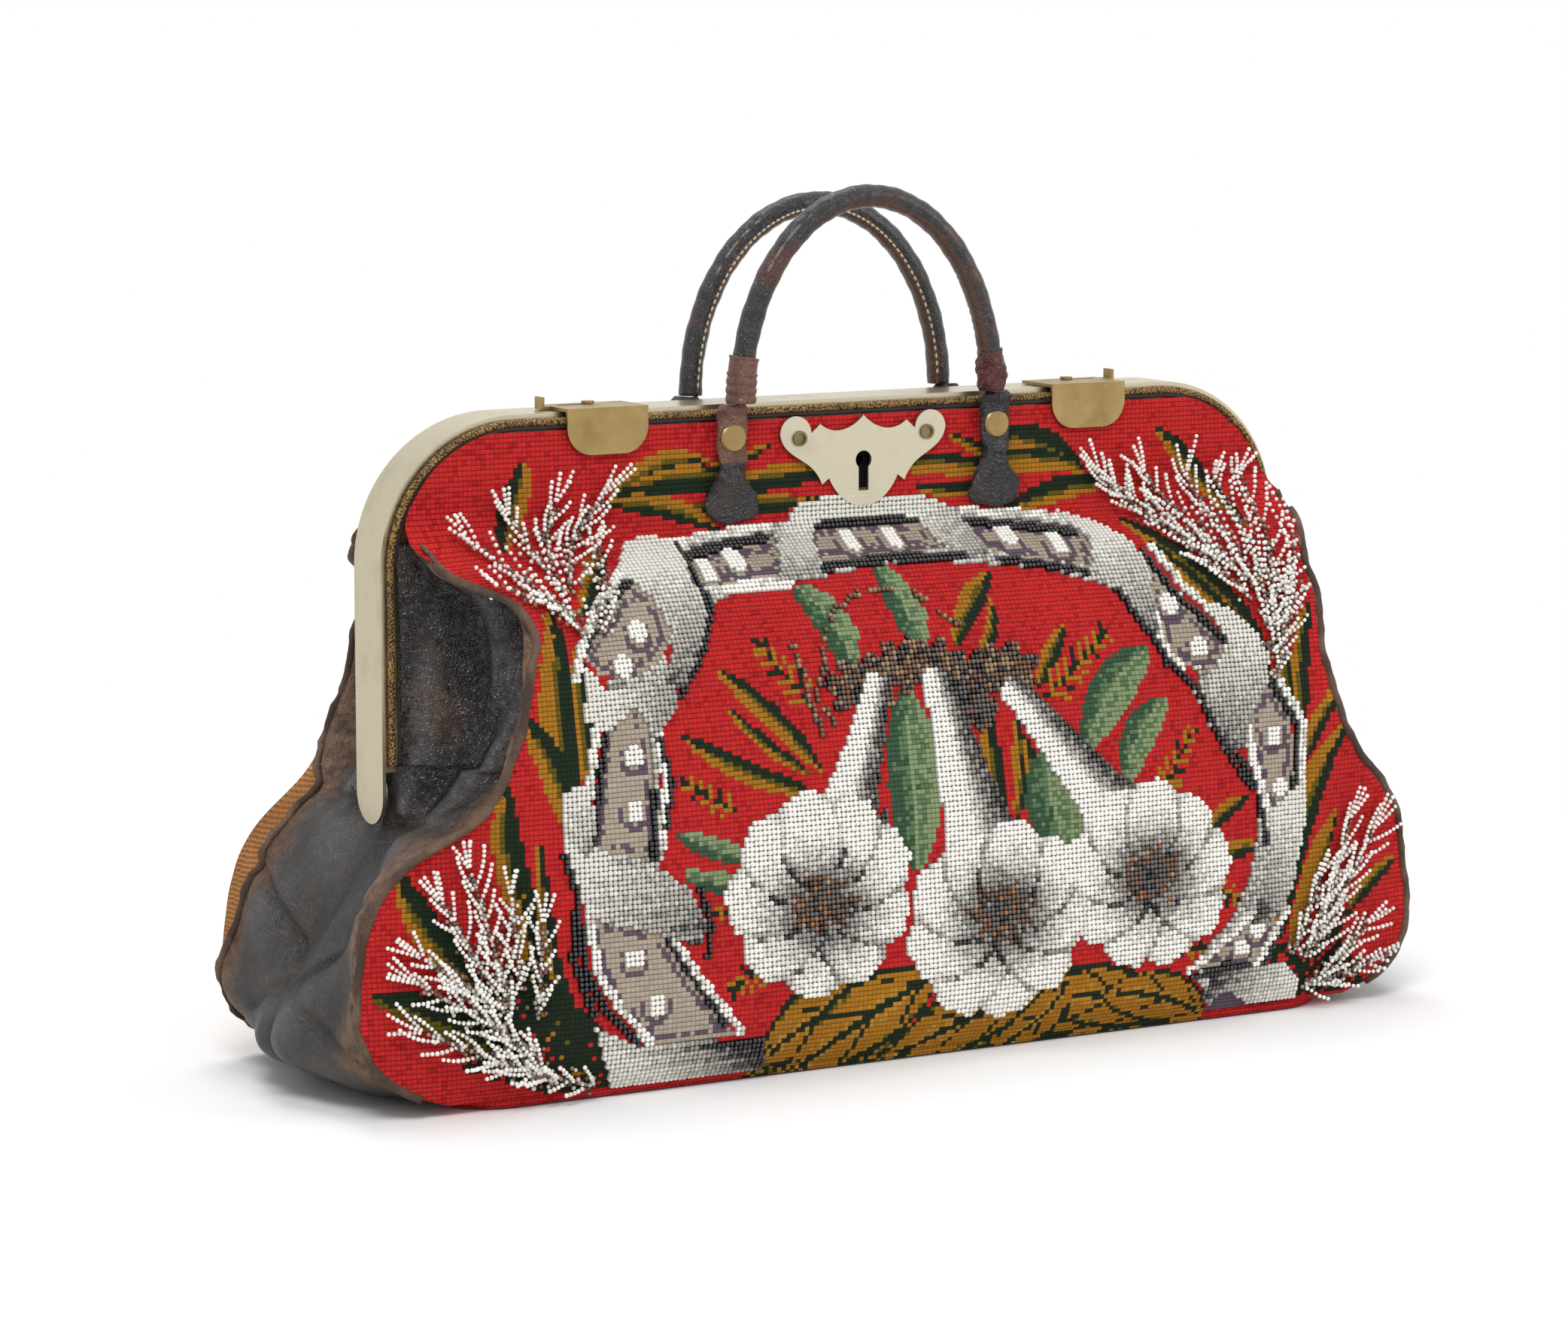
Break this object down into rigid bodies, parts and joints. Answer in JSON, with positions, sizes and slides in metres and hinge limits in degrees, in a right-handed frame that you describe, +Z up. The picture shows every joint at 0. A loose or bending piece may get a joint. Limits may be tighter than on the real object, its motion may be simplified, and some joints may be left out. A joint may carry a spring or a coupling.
{
  "type": "embroidered travel bag",
  "caption": "Soft travel bag with an embroidered floral front, leather gussets, hinged metal mouth frame, lock plate, side catches and rolled leather handles.",
  "frame": {"origin": "centre of the footprint, on the floor under the base", "axes": "+X across the bag toward its right end, +Y toward the rear panel, +Z up"},
  "size_m": [0.5084, 0.158, 0.3476],
  "materials": {
    "red_wool": "wool cross stitch",
    "ribbed_cloth": "ribbed woven cloth",
    "dark_leather": "worn pebbled leather",
    "brown_leather": "worn brown leather",
    "base_leather": "smooth leather",
    "board": "pasteboard",
    "nickel": "satin nickel plate",
    "lock_nickel": "ivory nickel plate",
    "steel": "plain steel",
    "gold_braid": "twisted gold cord",
    "brass": "aged brass",
    "handle_leather": "rolled leather, worn",
    "sleeve_leather": "pale worn leather"
  },
  "bodies": {
    "bag": {"front_panel": "red_wool", "rear_panel": "ribbed_cloth", "gusset_left": "dark_leather", "gusset_right": "dark_leather", "base": "base_leather", "base_board": "board", "welt_front_left": "brown_leather", "welt_front_right": "brown_leather", "welt_rear_left": "brown_leather", "welt_rear_right": "brown_leather"},
    "front_jaw": {"front_jaw": "nickel", "hinge_rivet_left": "nickel", "hinge_rivet_right": "nickel", "front_braid": "gold_braid", "lock_plate": "lock_nickel", "lock_case": "steel", "lock_pins": "lock_nickel", "chape_front_left": "sleeve_leather", "chape_front_right": "handle_leather", "front_studs": "brass", "catch_pins": "brass"},
    "rear_jaw": {"rear_jaw": "nickel", "rear_braid": "gold_braid", "lock_staple": "steel", "chape_rear_left": "handle_leather", "chape_rear_right": "handle_leather", "rear_studs": "brass"},
    "catch_left": {"catch_left": "brass"},
    "catch_right": {"catch_right": "brass"},
    "lock_bolt": {"lock_bolt": "steel"},
    "front_handle": {"front_handle": "handle_leather", "handle_sleeve": "sleeve_leather"},
    "rear_handle": {"rear_handle": "handle_leather"}
  },
  "joints": [
    {"name": "front_jaw_hinge", "type": "hinge", "parent": "bag", "child": "front_jaw", "pos_m": [0, 0, 0.115], "axis": [1, 0, 0], "range_deg": [0, 35], "deforming": ["front_panel", "gusset_left", "gusset_right", "welt_front_left", "welt_front_right"]},
    {"name": "rear_jaw_hinge", "type": "hinge", "parent": "bag", "child": "rear_jaw", "pos_m": [0, 0, 0.115], "axis": [-1, 0, 0], "range_deg": [0, 35], "deforming": ["rear_panel", "welt_rear_left", "welt_rear_right"]},
    {"name": "catch_left_slide", "type": "slide", "parent": "front_jaw", "child": "catch_left", "axis": [1, 0, 0], "range_m": [0, 0.012]},
    {"name": "catch_right_slide", "type": "slide", "parent": "front_jaw", "child": "catch_right", "axis": [-1, 0, 0], "range_m": [0, 0.012]},
    {"name": "lock_bolt_slide", "type": "slide", "parent": "front_jaw", "child": "lock_bolt", "axis": [-1, 0, 0], "range_m": [0, 0.005]},
    {"name": "front_handle_flex", "type": "hinge", "parent": "front_jaw", "child": "front_handle", "pos_m": [0.004, -0.0209, 0.2628], "axis": [1, 0, 0], "range_deg": [-8, 80]},
    {"name": "rear_handle_flex", "type": "hinge", "parent": "rear_jaw", "child": "rear_handle", "pos_m": [0.004, 0.0209, 0.2628], "axis": [-1, 0, 0], "range_deg": [-8, 80]}
  ]
}
